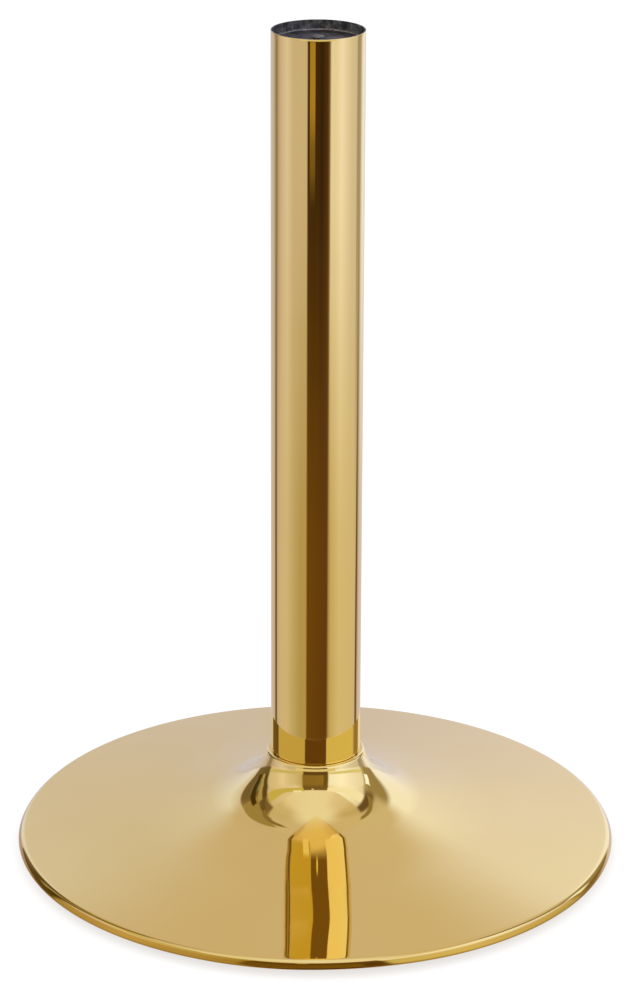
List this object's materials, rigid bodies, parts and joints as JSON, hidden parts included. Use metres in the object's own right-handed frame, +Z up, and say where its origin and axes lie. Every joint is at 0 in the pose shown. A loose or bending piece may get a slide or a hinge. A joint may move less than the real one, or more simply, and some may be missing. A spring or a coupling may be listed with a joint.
{
  "type": "pedestal base with column",
  "caption": "Mirror-polished gold pedestal: a straight round tube, open at the top, standing on a wide low trumpet base with a rolled rim.",
  "frame": {"origin": "on the floor at the column's axis, under the glides' faces", "axes": "+Z up along the column; +X to the right and -Y towards the viewer; glides lie at 45 degrees to X and Y"},
  "size_m": [0.51, 0.51, 0.707],
  "materials": {
    "polished_gold": "polished",
    "raw_steel": "satin",
    "zinc_steel": "satin",
    "cast_iron": "matte",
    "black_rubber": "matte",
    "black_nylon": "satin"
  },
  "bodies": {
    "base": {"base_shell": "polished_gold", "ballast": "cast_iron", "anti_rattle_ring": "black_rubber", "neck_spacer": "raw_steel", "neck_gasket": "black_rubber", "column_tube": "polished_gold", "column_foot_plug": "raw_steel", "column_top_plug": "raw_steel", "top_weld_nut": "zinc_steel", "tie_rod": "zinc_steel", "flat_washer": "zinc_steel", "spring_washer": "zinc_steel", "rod_nut": "zinc_steel"},
    "glide_1_pad": {"glide_pad_1": "black_nylon"},
    "glide_1_stud": {"glide_stud_1": "zinc_steel"},
    "glide_2_pad": {"glide_pad_2": "black_nylon"},
    "glide_2_stud": {"glide_stud_2": "zinc_steel"},
    "glide_3_pad": {"glide_pad_3": "black_nylon"},
    "glide_3_stud": {"glide_stud_3": "zinc_steel"},
    "glide_4_pad": {"glide_pad_4": "black_nylon"},
    "glide_4_stud": {"glide_stud_4": "zinc_steel"}
  },
  "joints": [
    {"name": "glide_1_travel", "type": "slide", "parent": "base", "child": "glide_1_pad", "axis": [0, 0, -1], "range_m": [0, 0.006]},
    {"name": "glide_1_turn", "type": "hinge", "parent": "glide_1_pad", "child": "glide_1_stud", "pos_m": [0.12728, 0.12728, 0], "axis": [0, 0, -1], "range_deg": [0, 1728]},
    {"name": "glide_2_travel", "type": "slide", "parent": "base", "child": "glide_2_pad", "axis": [0, 0, -1], "range_m": [0, 0.006]},
    {"name": "glide_2_turn", "type": "hinge", "parent": "glide_2_pad", "child": "glide_2_stud", "pos_m": [-0.12728, 0.12728, 0], "axis": [0, 0, -1], "range_deg": [0, 1728]},
    {"name": "glide_3_travel", "type": "slide", "parent": "base", "child": "glide_3_pad", "axis": [0, 0, -1], "range_m": [0, 0.006]},
    {"name": "glide_3_turn", "type": "hinge", "parent": "glide_3_pad", "child": "glide_3_stud", "pos_m": [-0.12728, -0.12728, 0], "axis": [0, 0, -1], "range_deg": [0, 1728]},
    {"name": "glide_4_travel", "type": "slide", "parent": "base", "child": "glide_4_pad", "axis": [0, 0, -1], "range_m": [0, 0.006]},
    {"name": "glide_4_turn", "type": "hinge", "parent": "glide_4_pad", "child": "glide_4_stud", "pos_m": [0.12728, -0.12728, 0], "axis": [0, 0, -1], "range_deg": [0, 1728]}
  ],
  "couplings": [
    {"joint": "glide_1_turn", "follows": "glide_1_travel", "rad_per_m": 5026.5},
    {"joint": "glide_2_turn", "follows": "glide_2_travel", "rad_per_m": 5026.5},
    {"joint": "glide_3_turn", "follows": "glide_3_travel", "rad_per_m": 5026.5},
    {"joint": "glide_4_turn", "follows": "glide_4_travel", "rad_per_m": 5026.5}
  ]
}
